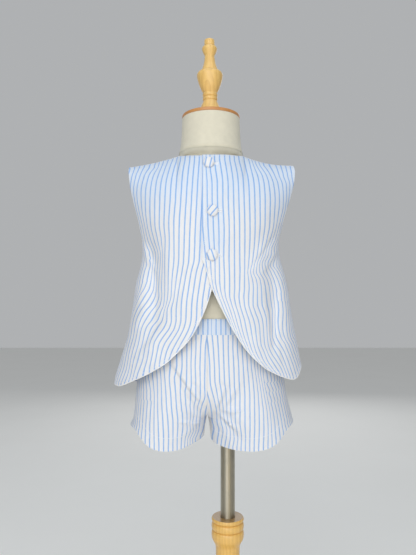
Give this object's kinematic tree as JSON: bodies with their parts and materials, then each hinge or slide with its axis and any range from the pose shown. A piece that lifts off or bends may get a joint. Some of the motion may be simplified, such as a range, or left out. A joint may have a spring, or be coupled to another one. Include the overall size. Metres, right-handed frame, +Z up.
{
  "type": "shorts set on a limbless child's dress form",
  "caption": "Toddler's striped cotton shorts set, a back-buttoned sleeveless top over matching shorts, worn on a dress form with a wooden stand.",
  "frame": {"origin": "centre of the base's underside, on the axis of the pole", "axes": "+Z up, +X to the wearer's right seen from behind, -Y towards the viewer who sees the buttoned back"},
  "size_m": [0.3038, 0.26, 1.001],
  "materials": {
    "striped_cotton": "fine blue stripes on white cotton poplin",
    "canvas": "off-white canvas cover",
    "honey_wood": "satin varnish",
    "red_brown_wood": "satin varnish",
    "polished_steel": "polished"
  },
  "bodies": {
    "root": {"top_back_left": "striped_cotton", "top_back_right": "striped_cotton", "top_front": "striped_cotton", "shorts_waistband": "striped_cotton", "shorts_back_left": "striped_cotton", "shorts_back_right": "striped_cotton", "shorts_front_left": "striped_cotton", "shorts_front_right": "striped_cotton", "button_upper": "striped_cotton", "button_middle": "striped_cotton", "button_lower": "striped_cotton", "form_body": "canvas", "neck_cap": "red_brown_wood", "finial": "honey_wood", "stand_base": "honey_wood", "stand_post": "honey_wood", "pole": "polished_steel"}
  },
  "joints": []
}
